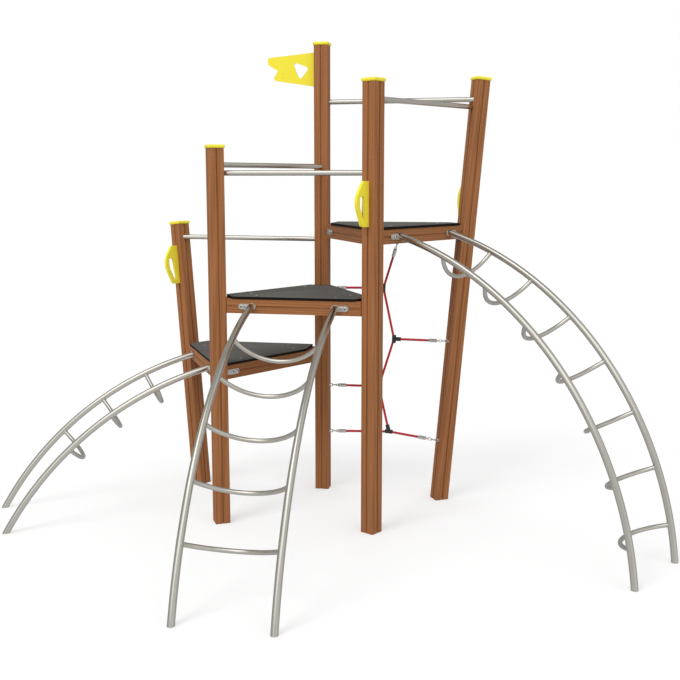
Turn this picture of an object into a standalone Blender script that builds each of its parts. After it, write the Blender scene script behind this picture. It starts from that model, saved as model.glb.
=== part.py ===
import bpy
import bmesh
from math import asin, cos, degrees, hypot, radians, sin, sqrt, tan
from mathutils import Vector, Matrix

# Play structure: five posts at the corners of three equilateral triangles in a
# row, three decks climbing to the right, three arched ladders and a rope net.
# Metres, Z up, origin at the foot of post 3, the middle one of the back row.

# Lattice of the triangles: side, depth of the row and the corner of each post
SIDE = 1.0
ROW = SIDE * sqrt(3) / 2
CORNER = {
    1: (-SIDE, 0.0),
    2: (-SIDE / 2, -ROW),
    3: (0.0, 0.0),
    4: (SIDE / 2, -ROW),
    5: (SIDE, 0.0),
}

# Running gap between neighbours
GAP = 0.0003

# Posts: grooved square timber; posts 1 and 5 lean outward, in metres of shift per metre of height
POST_W = 0.097
POST_ROUND = 0.004
GROOVE_W = 0.010
GROOVE_D = 0.006
FOOT = {
    1: (-SIDE + 0.0833, -0.0534),
    2: CORNER[2],
    3: CORNER[3],
    4: CORNER[4],
    5: (SIDE - 0.1395, -0.0954),
}
LEAN = {1: (-0.0843, 0.0531), 2: (0.0, 0.0), 3: (0.0, 0.0), 4: (0.0, 0.0), 5: (0.0773, 0.0501)}
TURN = {1: -30, 2: 30, 3: 0, 4: -30, 5: 30}
CAP_W = 0.111
CAP_H = 0.022
CAP_SOFT = 0.008

# Decks: height of each walking face, and how far each post stands above its deck
DECK_T = 0.015
DECK_OUT = 0.0275
DECK_TOP = {"low": 1.058, "mid": 1.50, "top": 1.94}
POST_TOP = {
    1: DECK_TOP["low"] + 0.851,
    2: DECK_TOP["mid"] + 0.922,
    3: DECK_TOP["top"] + 1.196,
    4: DECK_TOP["top"] + 0.867,
    5: DECK_TOP["top"] + 0.948,
}
TRIANGLE = {"low": (1, 2, 3), "mid": (2, 4, 3), "top": (3, 4, 5)}
CORNER_CUT = 0.077
NOTCH = 0.060

# Beams under the decks
BEAM_H = 0.095
BEAM_T = 0.045
BEAM_GROOVE_W = 0.010
BEAM_GROOVE_D = 0.005
BEAM_EDGE = 0.003

# Arched ladders: rails are circle arcs in vertical planes square to the deck edge.
# Each arc has the height of its crown, the distance of its centre behind the edge
# and its radius. Rungs start at an angle up the arc and go down it in equal steps,
# in degrees.
RAIL_R = 0.0212
RAIL_GAUGE = 0.540
RUNG_R = 0.0134
RUNG_BOW = 0.157
ARC_TOP = {"low": DECK_TOP["low"] - 0.008, "mid": DECK_TOP["mid"], "top": DECK_TOP["top"]}
ARC_BACK = {"low": 0.4605, "mid": 0.4787, "top": 0.4776}
ARC_R = {"low": 2.0873, "mid": 2.1281, "top": 2.1714}
RUNG_COUNT = {"low": 3, "mid": 5, "top": 7}
RUNG_FIRST = {"low": 66.6, "mid": 64.8, "top": 67.2}
RUNG_STEP = {"low": 9.35, "mid": 9.15, "top": 9.18}
LADDER_EDGE = {"low": (1, 2), "mid": (2, 4), "top": (4, 5)}
PLATE_T = 0.006
PLATE_H = 0.038
PLATE_IN = 0.029
PLATE_OUT = 0.085

# Handrail bars: height, and the post and plan angle of the face each end butts on
BAR_R = 0.01685
BARS = {
    "bar_1_3": (DECK_TOP["low"] + 0.757, 1, -30, 3, 180),
    "bar_2_4": (DECK_TOP["mid"] + 0.770, 2, 30, 4, 150),
    "bar_2_3": (DECK_TOP["mid"] + 0.820, 2, 30, 3, 270),
    "bar_4_5": (DECK_TOP["top"] + 0.769, 4, 60, 5, 210),
    "bar_3_5": (DECK_TOP["top"] + 0.818, 3, 0, 5, 210),
}

# Grips: fins that stand on a post face with a tongue in its groove; post, plan angle
# of the face and distance along the post
GRIP_T = 0.020
GRIP_LONG = 0.275
GRIP_REACH = 0.115
GRIPS = {
    "grip_1": (1, 240, DECK_TOP["low"] + 0.5705),
    "grip_4": (4, 240, DECK_TOP["top"] + 0.143),
    "grip_5": (5, 120, DECK_TOP["top"] + 0.160),
}
TONGUE_T = GROOVE_W - 2 * GAP
TONGUE_D = GROOVE_D - GAP

# Flag plate in the groove of the left face of post 3: reach from the post's axis
FLAG_LONG = 0.385
FLAG_HIGH = 0.231
FLAG_FOOT = POST_TOP[3] - 0.0425 - FLAG_HIGH

# Rope net between post 3, post 5 and the beam of the top deck
ROPE_R = 0.008
NET_TOP_X = SIDE * 0.539
KNOTS = {
    "a": Vector((SIDE * 0.438, 0.0, DECK_TOP["top"] - 0.462)),
    "b": Vector((SIDE * 0.517, -0.014, DECK_TOP["top"] - 0.821)),
    "c": Vector((SIDE * 0.409, 0.0, DECK_TOP["top"] - 1.169)),
    "d": Vector((SIDE * 0.486, -0.020, DECK_TOP["top"] - 1.493)),
}
BARREL_R = 0.019
BARREL_HALF = 0.035
STUB_R = 0.015
STUB_REACH = 0.042
FERRULE_R = 0.0125
FERRULE_L = 0.060
WIRE_R = 0.003
WELD = 0.001
EYE_R = 0.010
EYE_STAND = 0.016
RING_R = 0.008
LINK_HALF_W = 0.008


# Clean scene
for old in list(bpy.data.objects):
    bpy.data.objects.remove(old, do_unlink=True)
parts = bpy.data.collections.new("play_structure")
cutters = bpy.data.collections.new("cutters")
bpy.context.scene.collection.children.link(parts)
bpy.context.scene.collection.children.link(cutters)


def material(name, colour, rough, metal):
    mat = bpy.data.materials.new(name)
    mat.use_nodes = True
    shader = mat.node_tree.nodes["Principled BSDF"]
    shader.inputs["Base Color"].default_value = (*colour, 1.0)
    shader.inputs["Roughness"].default_value = rough
    shader.inputs["Metallic"].default_value = metal
    mat.diffuse_color = (*colour, 1.0)
    return mat


WOOD = material("post_wood", (0.30, 0.125, 0.055), 0.55, 0.0)
BEAM_WOOD = material("beam_wood", (0.27, 0.11, 0.048), 0.55, 0.0)
YELLOW = material("yellow_plastic", (0.90, 0.68, 0.02), 0.35, 0.0)
DECK = material("deck_board", (0.055, 0.058, 0.06), 0.6, 0.0)
STEEL = material("stainless_tube", (0.52, 0.50, 0.47), 0.35, 1.0)
FITTING = material("net_fitting", (0.30, 0.30, 0.30), 0.4, 1.0)
BLACK = material("black_plastic", (0.02, 0.02, 0.022), 0.45, 0.0)
ROPE = material("red_rope", (0.42, 0.02, 0.03), 0.8, 0.0)


def finish(name, bm, mat, place=None, smooth=30):
    """Keep a shape as a named part, closed and with outward faces."""
    bmesh.ops.recalc_face_normals(bm, faces=bm.faces)
    mesh = bpy.data.meshes.new(name)
    bm.to_mesh(mesh)
    bm.free()
    mesh.materials.append(mat)
    mesh.shade_smooth()
    mesh.set_sharp_from_angle(angle=radians(smooth))
    obj = bpy.data.objects.new(name, mesh)
    parts.objects.link(obj)
    if place:
        obj.matrix_world = place
    return obj


def evaluated_bmesh(obj):
    """Take the finished shape of a helper and remove the helper."""
    graph = bpy.context.evaluated_depsgraph_get()
    graph.update()
    mesh = bpy.data.meshes.new_from_object(obj.evaluated_get(graph))
    bm = bmesh.new()
    bm.from_mesh(mesh)
    bmesh.ops.remove_doubles(bm, verts=bm.verts, dist=0.00001)
    bpy.data.objects.remove(obj, do_unlink=True)
    bpy.data.meshes.remove(mesh)
    return bm


def sheet(loops, thick):
    """Flat outline in XY, thick along Z about zero; loops after the first are holes."""
    curve = bpy.data.curves.new("outline", "CURVE")
    curve.dimensions = "2D"
    curve.fill_mode = "BOTH"
    curve.extrude = thick / 2
    for loop in loops:
        spline = curve.splines.new("POLY")
        spline.points.add(len(loop) - 1)
        for point, xy in zip(spline.points, loop):
            point.co = (xy[0], xy[1], 0.0, 1.0)
        spline.use_cyclic_u = True
    obj = bpy.data.objects.new("outline", curve)
    bpy.context.scene.collection.objects.link(obj)
    return evaluated_bmesh(obj)


def tube(path, radius, sides, closed=False):
    """Round wire along a path of points."""
    curve = bpy.data.curves.new("wire", "CURVE")
    curve.dimensions = "3D"
    curve.bevel_depth = radius
    curve.bevel_resolution = (sides - 4) // 2
    curve.use_fill_caps = not closed
    spline = curve.splines.new("POLY")
    spline.points.add(len(path) - 1)
    for point, xyz in zip(spline.points, path):
        point.co = (*xyz, 1.0)
    spline.use_cyclic_u = closed
    obj = bpy.data.objects.new("wire", curve)
    bpy.context.scene.collection.objects.link(obj)
    return evaluated_bmesh(obj)


def turned(profile, sides):
    """Solid turned about Z from a profile that runs down its outer side."""
    mesh = bpy.data.meshes.new("profile")
    points = [(r, 0.0, z) for r, z in profile]
    mesh.from_pydata(points, [(i, i + 1) for i in range(len(points) - 1)], [])
    obj = bpy.data.objects.new("profile", mesh)
    bpy.context.scene.collection.objects.link(obj)
    screw = obj.modifiers.new("turn", "SCREW")
    screw.steps = sides
    screw.render_steps = sides
    screw.use_merge_vertices = True
    screw.merge_threshold = 0.00001
    return evaluated_bmesh(obj)


def trim(bm, point, normal):
    """Cut away what lies beyond a plane on its normal side and close the cut."""
    geom = list(bm.verts) + list(bm.edges) + list(bm.faces)
    done = bmesh.ops.bisect_plane(
        bm, geom=geom, dist=0.000001, plane_co=point, plane_no=normal, clear_outer=True)
    rim = [e for e in done["geom_cut"] if isinstance(e, bmesh.types.BMEdge)]
    bmesh.ops.holes_fill(bm, edges=rim, sides=0)


def boolean(obj, others, operation):
    """Join or cut a part with helper shapes, which are removed afterwards."""
    for other in others:
        mod = obj.modifiers.new(operation.lower(), "BOOLEAN")
        mod.operation = operation
        mod.solver = "EXACT"
        mod.object = other
    graph = bpy.context.evaluated_depsgraph_get()
    graph.update()
    mesh = bpy.data.meshes.new_from_object(obj.evaluated_get(graph))
    obj.modifiers.clear()
    obj.data = mesh
    mesh.name = obj.name
    for other in others:
        bpy.data.objects.remove(other, do_unlink=True)


def helper(bm, place=None):
    """Turn a shape into a cutter."""
    bmesh.ops.recalc_face_normals(bm, faces=bm.faces)
    mesh = bpy.data.meshes.new("cutter")
    bm.to_mesh(mesh)
    bm.free()
    obj = bpy.data.objects.new("cutter", mesh)
    cutters.objects.link(obj)
    obj.hide_render = True
    obj.display_type = "WIRE"
    if place:
        obj.matrix_world = place
    return obj


def rounded(corners, radius, steps=3):
    """Round the corners of a polygon; radius may be one number or one per corner."""
    out = []
    count = len(corners)
    for i, corner in enumerate(corners):
        here = Vector(corner)
        before = Vector(corners[i - 1]) - here
        after = Vector(corners[(i + 1) % count]) - here
        r = radius[i] if isinstance(radius, (list, tuple)) else radius
        if r <= 0:
            out.append(tuple(here))
            continue
        half = before.angle(after) / 2
        reach = r / tan(half)
        centre = here + (before.normalized() + after.normalized()).normalized() * (r / sin(half))
        start = here + before.normalized() * reach - centre
        end = here + after.normalized() * reach - centre
        for k in range(steps + 1):
            arm = start.lerp(end, k / steps)
            out.append(tuple(centre + arm.normalized() * r))
    return out


def frame(origin, x_axis, y_axis):
    """Placement whose X and Y follow the given directions."""
    x = Vector(x_axis).normalized()
    z = x.cross(Vector(y_axis)).normalized()
    y = z.cross(x)
    rows = Matrix((x, y, z)).transposed().to_4x4()
    return Matrix.Translation(Vector(origin)) @ rows


def level(angle):
    """Horizontal unit vector at a plan angle in degrees."""
    return Vector((cos(radians(angle)), sin(radians(angle)), 0.0))


def post_place(i):
    """Placement of a post: foot on the ground, Z along its axis, X at plan angle zero."""
    up = Vector((*LEAN[i], 1.0)).normalized()
    tilt = Vector((0, 0, 1)).rotation_difference(up).to_matrix().to_4x4()
    return Matrix.Translation((*FOOT[i], 0.0)) @ tilt


def axis_at(i, z):
    """Point of a post's axis at a height."""
    return Vector((FOOT[i][0] + LEAN[i][0] * z, FOOT[i][1] + LEAN[i][1] * z, z))


def face(i, angle, z=0.0):
    """Centre of a post face at a height and the face's outward normal."""
    normal = post_place(i).to_3x3() @ level(angle)
    return axis_at(i, z) + normal * (POST_W / 2), normal


def corner_point(i):
    """Lattice point of a post in plan."""
    return Vector((*CORNER[i], 0.0))


# Posts
def post_outline():
    half = POST_W / 2
    c = POST_ROUND
    g = GROOVE_W / 2
    groove = [(half, -g), (half - GROOVE_D, -g), (half - GROOVE_D, g), (half, g)]
    quarter = [(half, -half + c)] + groove + [(half, half - c), (half - c * 0.3, half - c * 0.3)]
    loop = []
    for k in range(4):
        a = radians(90 * k)
        loop += [(x * cos(a) - y * sin(a), x * sin(a) + y * cos(a)) for x, y in quarter]
    return loop


for i in TURN:
    run = POST_TOP[i] * hypot(1.0, *LEAN[i])
    below = 0.03
    bm = sheet([post_outline()], run + below)
    bm.transform(Matrix.Translation((0, 0, (run - below) / 2)) @ Matrix.Rotation(radians(TURN[i]), 4, "Z"))
    place = post_place(i)
    inverse = place.inverted()
    trim(bm, inverse @ Vector((*FOOT[i], 0.0)), inverse.to_3x3() @ Vector((0, 0, -1)))
    finish("post_%d" % i, bm, WOOD, place)
    cap = bmesh.new()
    bmesh.ops.create_cube(cap, size=1.0)
    lift = Matrix.Translation((0, 0, run + GAP + CAP_H / 2)) @ Matrix.Rotation(radians(TURN[i]), 4, "Z")
    cap.transform(Matrix.Diagonal((CAP_W, CAP_W, CAP_H, 1)))
    lid = finish("cap_%d" % i, cap, YELLOW, place @ lift)
    soft = lid.modifiers.new("soft", "BEVEL")
    soft.width = CAP_SOFT
    soft.segments = 2


# Beams: end planes are post faces, named by post and plan angle of the face
BEAMS = {
    "beam_low_1_2": ("low", 1, -30, 2, 120),
    "beam_low_2_3": ("low", 2, 30, 3, 180),
    "beam_low_1_3": ("low", 1, -30, 3, 180),
    "beam_mid_2_4": ("mid", 2, 30, 4, 150),
    "beam_mid_2_3": ("mid", 2, 30, 3, 270),
    "beam_mid_3_4": ("mid", 3, 270, 4, 150),
    "beam_top_4_5": ("top", 4, 60, 5, 210),
    "beam_top_3_4": ("top", 3, 0, 4, 150),
    "beam_top_3_5": ("top", 3, 0, 5, 210),
}


def beam_height(level_name):
    return DECK_TOP[level_name] - DECK_T - GAP - BEAM_H / 2


def beam_outline():
    h = BEAM_H / 2
    t = BEAM_T / 2
    e = BEAM_EDGE
    g = BEAM_GROOVE_W / 2
    d = BEAM_GROOVE_D
    side = [(t, -h + e), (t, -g), (t - d, -g), (t - d, g), (t, g), (t, h - e), (t - e, h)]
    return side + [(-x, -y) for x, y in side]


def outward(a, b, level_name):
    """Plan direction square to an edge, away from the deck's middle."""
    middle = sum((corner_point(k) for k in TRIANGLE[level_name]), Vector()) / 3
    along = (corner_point(b) - corner_point(a)).normalized()
    square = Vector((along.y, -along.x, 0))
    if square.dot(corner_point(a) - middle) < 0:
        square = -square
    return along, square


for name, (deck, a, face_a, b, face_b) in BEAMS.items():
    along, out = outward(a, b, deck)
    mid = (corner_point(a) + corner_point(b)) / 2 + Vector((0, 0, beam_height(deck)))
    place = frame(mid, out, (0, 0, 1))
    bm = sheet([beam_outline()], SIDE + 0.1)
    inverse = place.inverted()
    for post, angle, way in ((a, face_a, along), (b, face_b, -along)):
        point, normal = face(post, angle, beam_height(deck))
        trim(bm, inverse @ (point + normal * GAP), inverse.to_3x3() @ -normal)
        corner = corner_point(post)
        mitre = way * sin(radians(30)) + out * cos(radians(30))
        trim(bm, inverse @ (corner + mitre * 0.001), inverse.to_3x3() @ -mitre)
    finish(name, bm, BEAM_WOOD, place)


# Decks: a triangle with its edges set outward; a corner is cut off in front of its
# post, at a plan angle and distance, or notched round it, between two plan angles
def deck_loop(deck, cuts, notches):
    posts = TRIANGLE[deck]
    loop = []
    for k, here in enumerate(posts):
        before, after = posts[k - 1], posts[(k + 1) % 3]
        base = corner_point(here)
        ends = [outward(here, other, deck) for other in (before, after)]
        if here in notches:
            limits = [(level(angle), NOTCH) for angle in notches[here]]
        else:
            angle, reach = cuts[here]
            limits = [(level(angle), reach)] * 2
        spots = []
        for (along, out), (normal, reach) in zip(ends, limits):
            t = (reach - normal.dot(out) * DECK_OUT) / normal.dot(along)
            spots.append(base + out * DECK_OUT + along * t)
        loop.append(spots[0])
        if here in notches:
            loop.append(base + (limits[0][0] + limits[1][0]) * NOTCH)
        loop.append(spots[1])
    return [(p.x, p.y) for p in loop]


DECK_CUTS = {
    "low": ({1: (-30, 0.095), 3: (180, 0.080)}, {2: (120, 30)}),
    "mid": ({2: (30, CORNER_CUT), 4: (150, CORNER_CUT), 3: (270, CORNER_CUT)}, {}),
    "top": ({3: (0, 0.110), 5: (210, CORNER_CUT)}, {4: (150, 60)}),
}
for deck, (cuts, notches) in DECK_CUTS.items():
    bm = sheet([deck_loop(deck, cuts, notches)], DECK_T)
    finish("deck_" + deck, bm, DECK, Matrix.Translation((0, 0, DECK_TOP[deck] - DECK_T / 2)), 20)


# Ladders
def arc_point(deck, degrees_up, inward=0.0):
    """Outward distance and height on a ladder's arc or at a distance inside it."""
    r = ARC_R[deck] - inward
    a = radians(degrees_up)
    return r * cos(a) - ARC_BACK[deck], ARC_TOP[deck] - ARC_R[deck] + r * sin(a)


def rail_path(deck, side, count=20):
    """Points of a rail's axis from just under the ground to above the deck's edge."""
    r = ARC_R[deck]
    low = degrees(asin((r - ARC_TOP[deck] - 0.03) / r))
    high = 90 - degrees(asin(ARC_BACK[deck] / r))
    a, b = LADDER_EDGE[deck]
    along, out = outward(a, b, deck)
    mid = (corner_point(a) + corner_point(b)) / 2 + along * side * RAIL_GAUGE / 2
    path = []
    for k in range(count + 1):
        reach, height = arc_point(deck, low + (high - low) * k / count)
        path.append(mid + out * reach + Vector((0, 0, height)))
    return path


low, high = -PLATE_H / 2, PLATE_H / 2
plate_corners = [(-PLATE_IN, low), (PLATE_OUT, low), (PLATE_OUT, high), (-PLATE_IN, high)]
stadium = rounded(plate_corners, PLATE_H / 2 - 0.0005, 5)


def rail(deck, side):
    """Rail cut level at the ground, welded to its stadium plate at the beam."""
    a, b = LADDER_EDGE[deck]
    along, out = outward(a, b, deck)
    edge_mid = (corner_point(a) + corner_point(b)) / 2
    seat = edge_mid + out * (BEAM_T / 2 + GAP)
    bm = tube(rail_path(deck, side), RAIL_R, 12)
    trim(bm, Vector((0, 0, 0)), Vector((0, 0, -1)))
    trim(bm, seat + out * PLATE_T / 2, -out)
    obj = finish("rail", bm, STEEL)
    spot = seat + along * side * RAIL_GAUGE / 2 + out * PLATE_T / 2
    spot.z = beam_height(deck)
    boolean(obj, [helper(sheet([stadium], PLATE_T), frame(spot, along * side, (0, 0, 1)))], "UNION")
    return obj


# Rungs: bows that sag inward between the rails
bow_radius = (RAIL_GAUGE ** 2 / 4 + RUNG_BOW ** 2) / (2 * RUNG_BOW)
bow_half = asin(RAIL_GAUGE / 2 / bow_radius)


def rung_angles(deck):
    return [RUNG_FIRST[deck] - RUNG_STEP[deck] * k for k in range(RUNG_COUNT[deck])]


def rung(deck, degrees_up, count=12):
    a, b = LADDER_EDGE[deck]
    along, out = outward(a, b, deck)
    mid = (corner_point(a) + corner_point(b)) / 2
    path = []
    for k in range(count + 1):
        turn = -bow_half + 2 * bow_half * k / count
        sag = bow_radius * cos(turn) - (bow_radius - RUNG_BOW)
        reach, height = arc_point(deck, degrees_up, sag)
        path.append(mid + along * bow_radius * sin(turn) + out * reach + Vector((0, 0, height)))
    return tube(path, RUNG_R, 8)


def name_and_shade(obj, name):
    obj.name = name
    obj.data.name = name
    obj.data.shade_smooth()
    obj.data.set_sharp_from_angle(angle=radians(30))


# The low ladder has its rungs welded to the left rail and coped to the right one
welded = rail("low", -1)
boolean(welded, [helper(rung("low", angle)) for angle in rung_angles("low")], "UNION")
boolean(welded, [helper(tube(rail_path("low", 1), RAIL_R + GAP, 12))], "DIFFERENCE")
name_and_shade(welded, "ladder_low_left")
name_and_shade(rail("low", 1), "rail_low_right")

# The others are rails and rungs, each rung coped to both rails
for deck in ("mid", "top"):
    for side, hand in ((-1, "left"), (1, "right")):
        name_and_shade(rail(deck, side), "rail_%s_%s" % (deck, hand))
    for number, angle in enumerate(rung_angles(deck)):
        obj = finish("rung", rung(deck, angle), STEEL)
        sides = [helper(tube(rail_path(deck, side), RAIL_R + GAP, 12)) for side in (-1, 1)]
        boolean(obj, sides, "DIFFERENCE")
        name_and_shade(obj, "rung_%s_%d" % (deck, number + 1))


# Handrail bars
for name, (z, a, face_a, b, face_b) in BARS.items():
    start, normal_a = face(a, face_a, z)
    end, normal_b = face(b, face_b, z)
    way = (end - start).normalized()
    bm = tube([start - way * 0.03, end + way * 0.03], BAR_R, 16)
    trim(bm, start + normal_a * GAP, -normal_a)
    trim(bm, end + normal_b * GAP, -normal_b)
    finish(name, bm, STEEL)


# Grips: a fin with a blunt nose above its middle and a slanted finger slot
def grip_point(reach, rise):
    """Point of a grip from shares of its reach and of half its length."""
    return GRIP_REACH * reach, GRIP_LONG / 2 * rise


grip_outline = rounded(
    [(GAP, GRIP_LONG / 2), grip_point(0.435, 1), grip_point(1.13, 0.16), grip_point(0.557, -1),
     (GAP, -GRIP_LONG / 2)],
    [0.0, GRIP_REACH * 0.17, GRIP_REACH * 1.04, GRIP_REACH * 0.19, 0.0], 6)
grip_slot = rounded(
    [grip_point(0.40, 0.335), grip_point(0.73, 0.335), grip_point(0.73, -0.13),
     grip_point(0.40, -0.785), grip_point(0.226, -0.785)],
    [GRIP_REACH * 0.10, GRIP_REACH * 0.12, GRIP_REACH * 0.52, GRIP_REACH * 0.07, GRIP_REACH * 0.07], 3)
for name, (i, angle, along_axis) in GRIPS.items():
    up = post_place(i).to_3x3() @ Vector((0, 0, 1))
    base, normal = face(i, angle)
    base = base + up * along_axis
    place = frame(base, normal, up)
    obj = finish(name, sheet([grip_outline, grip_slot], GRIP_T), YELLOW, place)
    edge = obj.modifiers.new("edge", "BEVEL")
    edge.width = 0.005
    edge.segments = 1
    edge.limit_method = "ANGLE"
    edge.angle_limit = radians(60)
    end = GRIP_LONG * 0.4
    tongue = sheet([[(-TONGUE_D, -end), (0.004, -end), (0.004, end), (-TONGUE_D, end)]], TONGUE_T)
    boolean(obj, [helper(tongue, place)], "UNION")
    obj.data.set_sharp_from_angle(angle=radians(30))


# Flag plate, swallowtail with a rounded triangular opening
def flag_point(reach, rise):
    """Point of the flag from shares of its reach and its height."""
    return -FLAG_LONG * reach, FLAG_FOOT + FLAG_HIGH * rise


flag_base = -(POST_W / 2 - TONGUE_D)
flag_outline = rounded(
    [(flag_base, FLAG_FOOT + FLAG_HIGH), flag_point(1, 0.862), flag_point(0.99, 0.66),
     flag_point(0.815, 0.485), flag_point(0.905, 0.205), (flag_base, FLAG_FOOT)],
    [0.0, FLAG_HIGH * 0.06, FLAG_HIGH * 0.08, FLAG_HIGH * 0.026, FLAG_HIGH * 0.06, 0.0], 3)
flag_hole = rounded(
    [flag_point(0.545, 0.745), flag_point(0.235, 0.555), flag_point(0.407, 0.195)],
    FLAG_HIGH * 0.06, 3)
flag = sheet([flag_outline, flag_hole], TONGUE_T)
finish("flag", flag, YELLOW, frame((0, 0, 0), (1, 0, 0), (0, 0, 1)))


# Rope net
def ring(centre, way, side, half_long, half_wide):
    """Stadium ring of wire, long along way, wide along side."""
    path = []
    straight = half_long - half_wide
    for end in (1, -1):
        for k in range(5):
            a = radians(-90 + 45 * k)
            arm = way * (straight + half_wide * cos(a)) + side * half_wide * sin(a)
            path.append(centre + arm * end)
    if straight < 0.0001:
        path = [p for k, p in enumerate(path) if k not in (4, 9)]
    return helper(tube(path, WIRE_R, 6, closed=True))


def upright_frame(origin, way):
    """Placement whose Z follows a direction."""
    side = way.orthogonal().normalized()
    return frame(origin, side, way.cross(side))


def net_end(name, spot, normal, goal, count, link_long):
    """Eye bolt on a face, linked to a ferrule that points at a goal; gives the rope's start and way."""
    base = spot + normal * EYE_STAND
    way = (goal - base).normalized()
    upright = Vector((0, 0, 1)) if abs(way.z) < 0.7 else Vector((0, 1, 0))
    tall = (upright - way * way.dot(upright)).normalized()
    flat = way.cross(tall)
    washer = turned([(0.0, 0.003), (0.009, 0.003), (0.011, 0.0), (0.0, 0.0)], 10)
    obj = finish("washer", washer, FITTING, upright_frame(spot + normal * GAP, normal))
    stalk = tube([spot - normal * 0.01, base - way * EYE_R], 0.004, 8)
    trim(stalk, spot + normal * (GAP + 0.001), -normal)
    pieces = [helper(stalk), ring(base, way, tall, EYE_R, EYE_R)]
    end = EYE_R
    across = [flat, tall]
    for k in range(round(count)):
        start = end - 2 * WIRE_R + WELD
        middle = base + way * (start + link_long / 2)
        pieces.append(ring(middle, way, across[k % 2], link_long / 2, LINK_HALF_W))
        end = start + link_long
    start = end - 2 * WIRE_R + WELD
    middle = base + way * (start + RING_R)
    pieces.append(ring(middle, way, across[round(count) % 2], RING_R, RING_R))
    foot = base + way * (start + 2 * RING_R - WIRE_R * 0.5)
    crown = [(0.0, FERRULE_L), (0.010, FERRULE_L), (FERRULE_R, FERRULE_L - 0.004)]
    profile = crown + [(FERRULE_R, 0.006), (0.007, 0.0), (0.0, 0.0)]
    pieces.append(helper(turned(profile, 12), upright_frame(foot, way)))
    boolean(obj, pieces, "UNION")
    name_and_shade(obj, name)
    return foot + way * FERRULE_L, way


under_beam = Vector((NET_TOP_X, 0, beam_height("top") - BEAM_H / 2))
NET_ENDS = {
    "net_end_top": (under_beam, Vector((0, 0, -1)), KNOTS["a"], 2, 0.026),
    "net_end_a": (*face(3, 0, KNOTS["a"].z - 0.005), KNOTS["a"], 1, 0.034),
    "net_end_b": (*face(5, 210, KNOTS["b"].z - 0.001), KNOTS["b"], 2, 0.028),
    "net_end_c": (*face(3, 0, KNOTS["c"].z - 0.003), KNOTS["c"], 1, 0.034),
    "net_end_d": (*face(3, 0, KNOTS["d"].z - 0.020), KNOTS["d"], 1, 0.034),
    "net_end_e": (*face(5, 210, KNOTS["d"].z - 0.030), KNOTS["d"], 2, 0.034),
}
SIDE_ROPES = {"net_end_a": "a", "net_end_b": "b", "net_end_c": "c", "net_end_d": "d", "net_end_e": "d"}
reached = {name: net_end(name, *values) for name, values in NET_ENDS.items()}


def net_tubes(radius, gap):
    """The main zigzag rope and its side ropes, as separate tubes that meet in the knots."""
    end, way = reached["net_end_top"]
    tubes = [tube([end + way * gap] + list(KNOTS.values()), radius, 8)]
    for name, knot in SIDE_ROPES.items():
        end, way = reached[name]
        tubes.append(tube([end + way * gap, KNOTS[knot]], radius, 8))
    return tubes


main_rope, *side_ropes = net_tubes(ROPE_R, GAP)
net = finish("net_rope", main_rope, ROPE)
boolean(net, [helper(bm) for bm in side_ropes], "UNION")
name_and_shade(net, "net_rope")

# Black crossings: a barrel along the main rope with a stub round each side rope
spots = [reached["net_end_top"][0]] + list(KNOTS.values())
for number, (key, knot) in enumerate(KNOTS.items()):
    up = (spots[number] - knot).normalized()
    if key != "d":
        up = (up + (knot - spots[number + 2]).normalized()).normalized()
    low = BARREL_HALF if key != "d" else BARREL_R + 0.004
    soft = 0.003
    upper = [(0.0, BARREL_HALF), (BARREL_R - soft, BARREL_HALF), (BARREL_R, BARREL_HALF - soft)]
    profile = upper + [(BARREL_R, -low + soft), (BARREL_R - soft, -low), (0.0, -low)]
    obj = finish("net_crossing_" + key, turned(profile, 12), BLACK, upright_frame(knot, up))
    stubs = []
    for name, at in SIDE_ROPES.items():
        if at == key:
            stub = turned([(0.0, STUB_REACH), (STUB_R, STUB_REACH), (STUB_R, 0.0), (0.0, 0.0)], 12)
            stubs.append(helper(stub, upright_frame(knot, -reached[name][1])))
    boolean(obj, stubs, "UNION")
    boolean(obj, [helper(bm) for bm in net_tubes(ROPE_R + GAP, -0.01)], "DIFFERENCE")
    name_and_shade(obj, "net_crossing_" + key)
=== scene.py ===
from math import asin, atan2, cos, degrees, pi, radians, sin, sqrt

import bmesh
import bpy
from mathutils import Matrix, Vector


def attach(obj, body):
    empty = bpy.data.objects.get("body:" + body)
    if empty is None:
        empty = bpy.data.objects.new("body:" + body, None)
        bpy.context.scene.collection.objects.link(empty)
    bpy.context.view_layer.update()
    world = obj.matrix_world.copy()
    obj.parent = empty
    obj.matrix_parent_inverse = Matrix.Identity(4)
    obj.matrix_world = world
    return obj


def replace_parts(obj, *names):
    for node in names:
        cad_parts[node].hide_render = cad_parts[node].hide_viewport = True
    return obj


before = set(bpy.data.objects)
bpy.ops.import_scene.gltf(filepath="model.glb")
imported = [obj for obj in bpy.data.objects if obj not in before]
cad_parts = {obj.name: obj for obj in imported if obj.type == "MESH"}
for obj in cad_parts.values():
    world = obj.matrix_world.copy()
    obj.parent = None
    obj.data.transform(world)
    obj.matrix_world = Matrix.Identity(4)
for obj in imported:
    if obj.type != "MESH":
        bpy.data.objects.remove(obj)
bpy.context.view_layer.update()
scene = bpy.context.scene
scene.view_settings.view_transform = "Standard"

# Camera
camera = bpy.data.objects.new("camera", bpy.data.cameras.new("camera"))
scene.collection.objects.link(camera)
camera.location = (1.4833, -6.9129, 2.2239)
camera.rotation_euler = (radians(80.91), 0.0, radians(11.11))
camera.data.lens = 52.78
camera.data.sensor_width = 36.0
scene.camera = camera

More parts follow.
